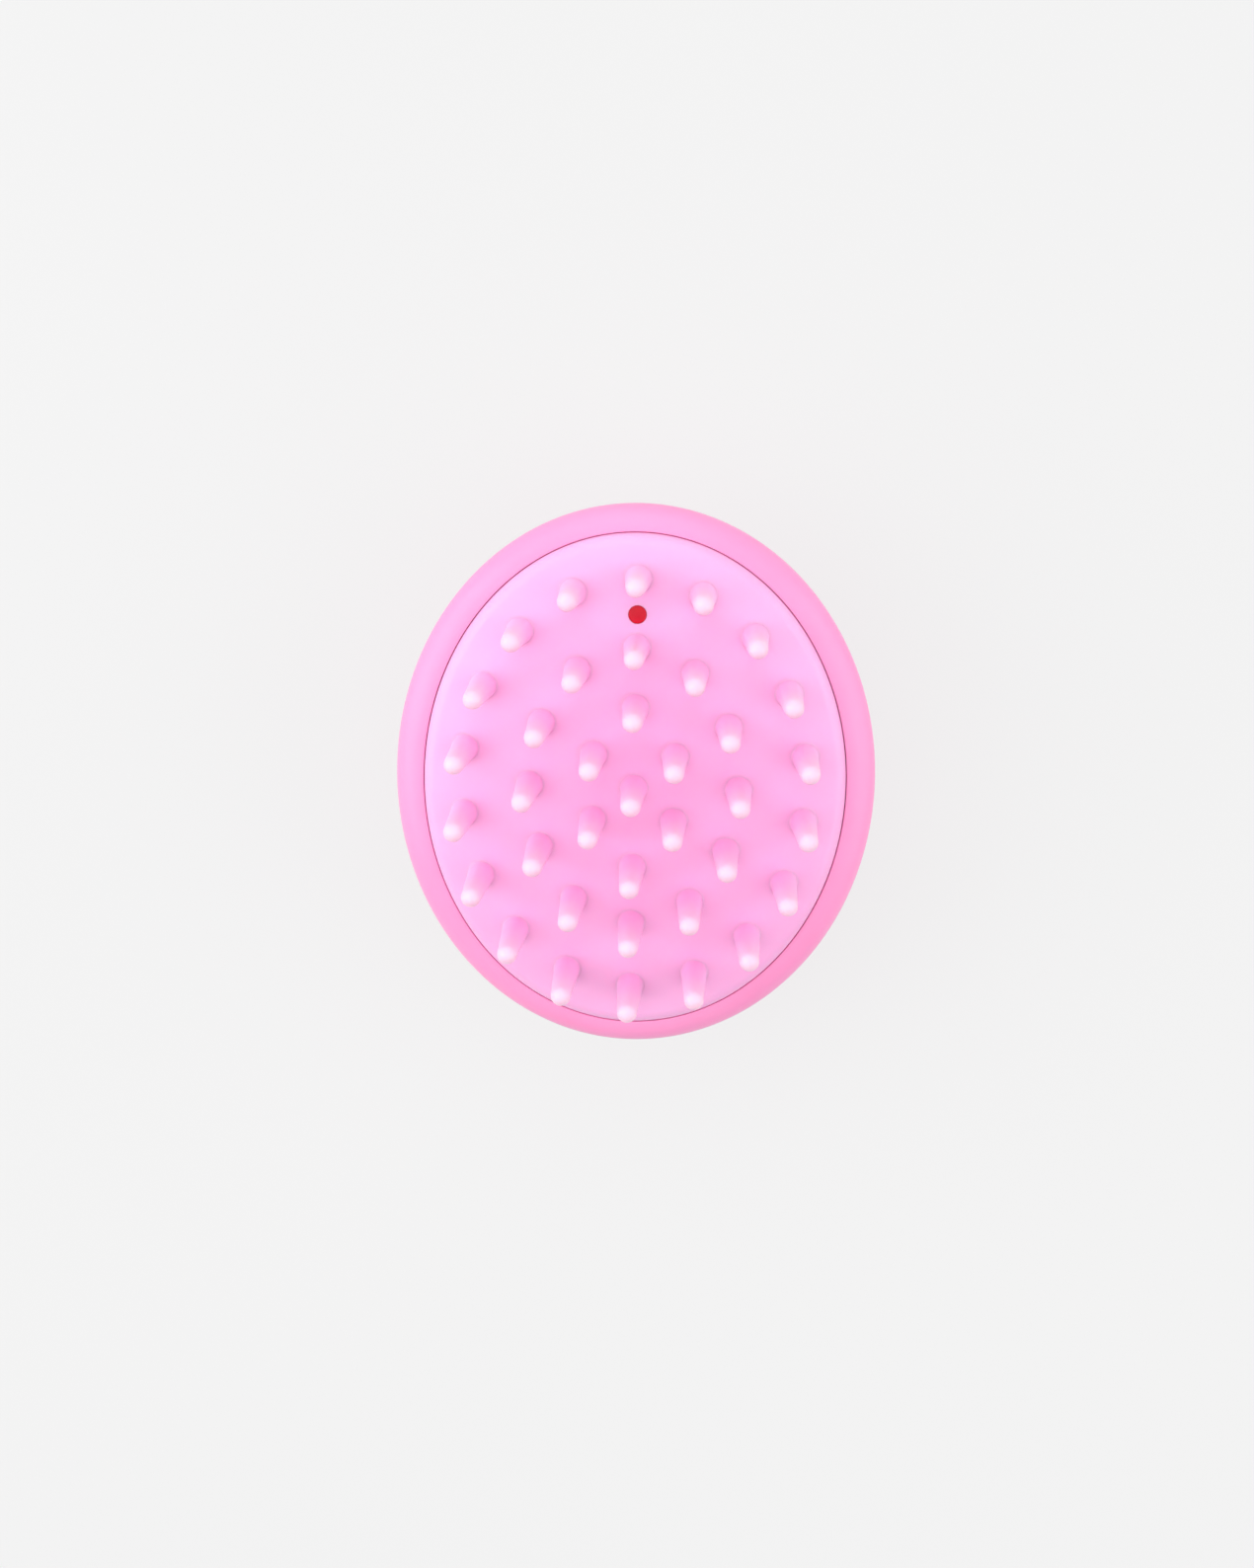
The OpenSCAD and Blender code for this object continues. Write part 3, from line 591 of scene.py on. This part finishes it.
# ---------- power button ----------
face = [(0, BUTTON_INSET + 0.5), (1.5, BUTTON_INSET + 0.49), (3.0, BUTTON_INSET + 0.42),
        (4.5, BUTTON_INSET + 0.24), (5.6, BUTTON_INSET + 0.06), (6.2, BUTTON_INSET)]
button = lathe("power_button_cap",
               face + arc(BUTTON_R - 0.5, BUTTON_INSET + 0.5, 0.5, -80, 0, 6)
               + [(BUTTON_R, 1.3), (BUTTON_R - 0.8, 1.3), (BUTTON_R - 0.8, 2.2),
                  (BUTTON_R, 2.2), (BUTTON_R, FLANGE_Z), (BUTTON_R + 1.3, FLANGE_Z),
                  (BUTTON_R + 1.5, FLANGE_Z + 0.2), (BUTTON_R + 1.5, SPRING_LOW),
                  (STEM_R, SPRING_LOW), (STEM_R, STEM_TOP), (0, STEM_TOP)],
               n=128, sharp_angle=40)
piece(button, "button", "button", "power_button")

# ---------- button spring ----------
turns, per_turn = 3, 40
low, high = SPRING_LOW + SPRING_WIRE_R + 0.05, SPRING_HIGH - SPRING_WIRE_R - 0.05
coil = []
for i in range(turns * per_turn + 1):
    q = math.tau * i / per_turn
    coil.append((SPRING_R * math.cos(q), SPRING_R * math.sin(q),
                 low + (high - low) * i / (turns * per_turn)))
spring = tube("button_coil", coil, SPRING_WIRE_R)
piece(spring, "brush", "spring_steel", "button_spring")
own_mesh(spring)

# ---------- floor ----------
def floor_material():
    """Pale, softly lit paper that is clear from below, so the crown can be seen."""
    m = Nodes("floor_paper")
    grey = m.ramp(m.noise(3.0), [(0.3, (0.11, 0.11, 0.11)), (0.7, (0.12, 0.12, 0.12))])
    m.set(Base_Color=grey, Roughness=0.9, Emission_Color=(1, 1, 1, 1), Emission_Strength=0.745,
          Specular_IOR_Level=0.1)
    mix = m.add("MixShader")
    m.put(mix.inputs[0], m.add("NewGeometry").outputs["Backfacing"])
    m.put(mix.inputs[1], m.shader.outputs[0])
    m.put(mix.inputs[2], m.add("BsdfTransparent").outputs[0])
    m.put(m.tree.nodes["Material Output"].inputs["Surface"], mix.outputs[0])
    return m.mat


floor = make_object("studio_floor", [(sx * FLOOR_HALF, sy * FLOOR_HALF, 0) for sx, sy in
                                     ((-1, -1), (1, -1), (1, 1), (-1, 1))], [(0, 1, 2, 3)])
floor.data.materials.append(floor_material())


# ---------- light and camera ----------
def area_light(name, place, size, watts):
    """Round soft light at a place in metres, turned towards the pad."""
    data = bpy.data.lights.new(name, "AREA")
    data.shape, data.size, data.energy = "DISK", size, watts
    ob = bpy.data.objects.new(name, data)
    ob.location = place
    ob.rotation_euler = (Vector(AIM) - Vector(place)).to_track_quat("-Z", "Y").to_euler()
    ob.visible_camera = False
    bpy.context.scene.collection.objects.link(ob)


AIM = (0, 0, PAD_Z * MM)
area_light("left_softbox", (-0.42, 0.05, 0.3), 0.5, 1.2)
area_light("right_softbox", (0.55, 0.0, 0.35), 0.7, 2.0)
area_light("far_softbox", (-0.1, 0.5, 0.45), 0.7, 0.87)


def studio_world(even, left, far, above):
    """White room, brighter to the left (-X), on the far side (+Y) and overhead."""
    world = bpy.data.worlds.new("studio")
    world.use_nodes = True
    tree = world.node_tree

    def link(value, socket):
        if isinstance(value, bpy.types.NodeSocket):
            tree.links.new(value, socket)
        else:
            socket.default_value = value

    def maths(operation, a, b):
        node = tree.nodes.new("ShaderNodeMath")
        node.operation = operation
        link(a, node.inputs[0])
        link(b, node.inputs[1])
        return node.outputs[0]

    axes = tree.nodes.new("ShaderNodeSeparateXYZ")
    link(tree.nodes.new("ShaderNodeTexCoord").outputs["Generated"], axes.inputs[0])
    level = even
    for axis, sign, power, strength in (("X", -1, 1, left), ("Y", 1, 1, far), ("Z", 1, 3, above)):
        towards = maths("MAXIMUM", maths("MULTIPLY", axes.outputs[axis], sign), 0.0)
        share = maths("POWER", towards, power)
        level = maths("ADD", level, maths("MULTIPLY", share, strength))
    background = tree.nodes["Background"]
    background.inputs["Color"].default_value = (1, 1, 1, 1)
    link(level, background.inputs["Strength"])
    bpy.context.scene.world = world


studio_world(even=0.17, left=0.5, far=0.5, above=1.05)

CAMERA_AWAY, LENS, SENSOR = 0.6, 82.97, 36.0
TILT, TURN, ROLL = math.radians(14.1), math.radians(-2.0), math.radians(-1.15)
OFF_CENTRE = Vector((-0.00109, 0.00067, CAMERA_AWAY))
to_camera = (Matrix.Rotation(ROLL, 3, "Z") @ Matrix.Rotation(TILT, 3, "X")
             @ Matrix.Rotation(TURN, 3, "Y"))
from_camera = to_camera.transposed()
camera = bpy.data.objects.new("camera", bpy.data.cameras.new("camera"))
camera.data.lens, camera.data.sensor_width, camera.data.clip_start = LENS, SENSOR, 0.01
camera.matrix_world = (Matrix.Translation(from_camera @ OFF_CENTRE + Vector(AIM))
                       @ from_camera.to_4x4())
bpy.context.scene.collection.objects.link(camera)
bpy.context.scene.camera = camera
bpy.context.scene.view_settings.view_transform = "Standard"
